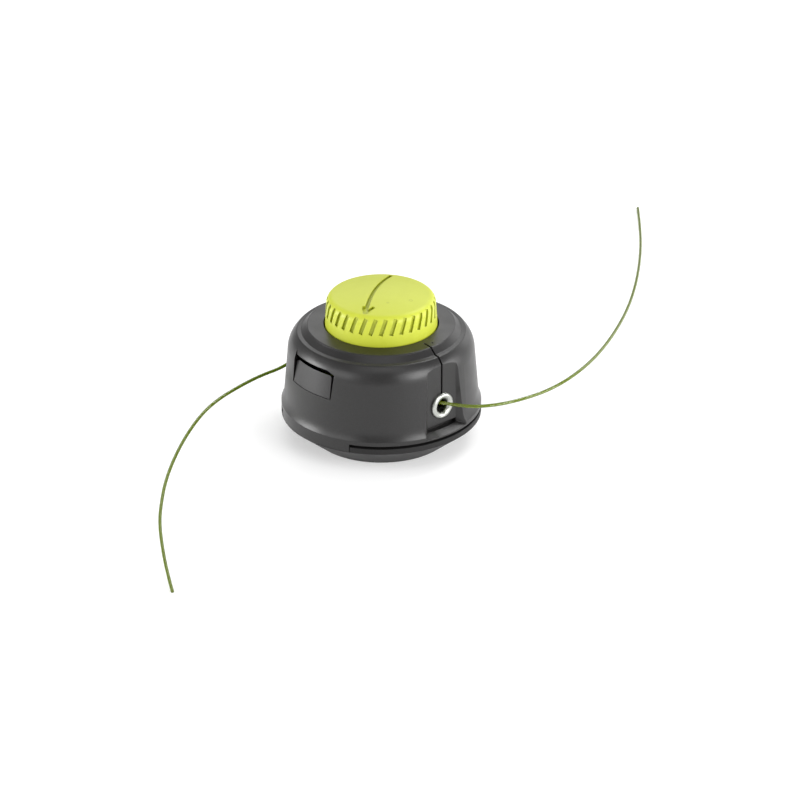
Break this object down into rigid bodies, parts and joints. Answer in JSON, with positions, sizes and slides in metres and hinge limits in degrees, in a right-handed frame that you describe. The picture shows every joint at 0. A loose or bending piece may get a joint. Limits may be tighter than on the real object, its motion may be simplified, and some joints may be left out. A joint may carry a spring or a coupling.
{
  "type": "bump feed trimmer head",
  "caption": "Round two-line trimmer head with a latched drum cover, spring-loaded spool and a slotted bump knob that feeds line through metal eyelets when tapped on the ground.",
  "frame": {"origin": "centre of the foot face of the base, the face that goes against the machine", "axes": "+Z along the spin axis from the machine towards the bump knob, line eyelets on X, release latches on Y"},
  "size_m": [0.2052, 0.5483, 0.0898],
  "materials": {
    "housing_nylon": "dark grey glass-filled nylon, fine moulded texture",
    "latch_nylon": "dark grey nylon, fine moulded texture",
    "spool_nylon": "black nylon, plain moulded",
    "knob_nylon": "yellow-green nylon, softly moulded",
    "line_nylon": "green extruded nylon monofilament",
    "eyelet_steel": "bright plated, turned",
    "zinc_steel": "zinc plated",
    "spring_steel": "drawn spring wire"
  },
  "bodies": {
    "root": {"base_housing": "housing_nylon", "arbor_nut": "zinc_steel", "drum_cover": "housing_nylon", "line_eyelet_right": "eyelet_steel", "line_eyelet_left": "eyelet_steel", "trimmer_line_right": "line_nylon", "trimmer_line_left": "line_nylon", "bump_spring": "spring_steel"},
    "carriage": {"thrust_washer": "zinc_steel"},
    "spool": {"line_spool": "spool_nylon", "line_winding_lower": "line_nylon", "line_winding_upper": "line_nylon", "bump_knob": "knob_nylon", "knob_screw": "zinc_steel", "screw_washer": "zinc_steel"},
    "latch_front": {"release_latch_front": "latch_nylon"},
    "latch_rear": {"release_latch_rear": "latch_nylon"}
  },
  "joints": [
    {"name": "bump_slide", "type": "slide", "parent": "root", "child": "carriage", "axis": [0, 0, 1], "range_m": [-0.005, 0], "stiffness_N_per_m": 3000, "springref_m": 0.006, "deforming": ["bump_spring"]},
    {"name": "knob_turn", "type": "hinge", "parent": "carriage", "child": "spool", "pos_m": [0, 0, 0.051], "axis": [0, 0, 1], "continuous": true},
    {"name": "latch_front_press", "type": "hinge", "parent": "root", "child": "latch_front", "pos_m": [0, -0.0508, 0.0204], "axis": [-1, 0, 0], "range_deg": [0, 6.5], "stiffness_Nm_per_rad": 0.25, "springref_deg": -2.86},
    {"name": "latch_rear_press", "type": "hinge", "parent": "root", "child": "latch_rear", "pos_m": [0, 0.0508, 0.0204], "axis": [1, 0, 0], "range_deg": [0, 6.5], "stiffness_Nm_per_rad": 0.25, "springref_deg": -2.86}
  ]
}
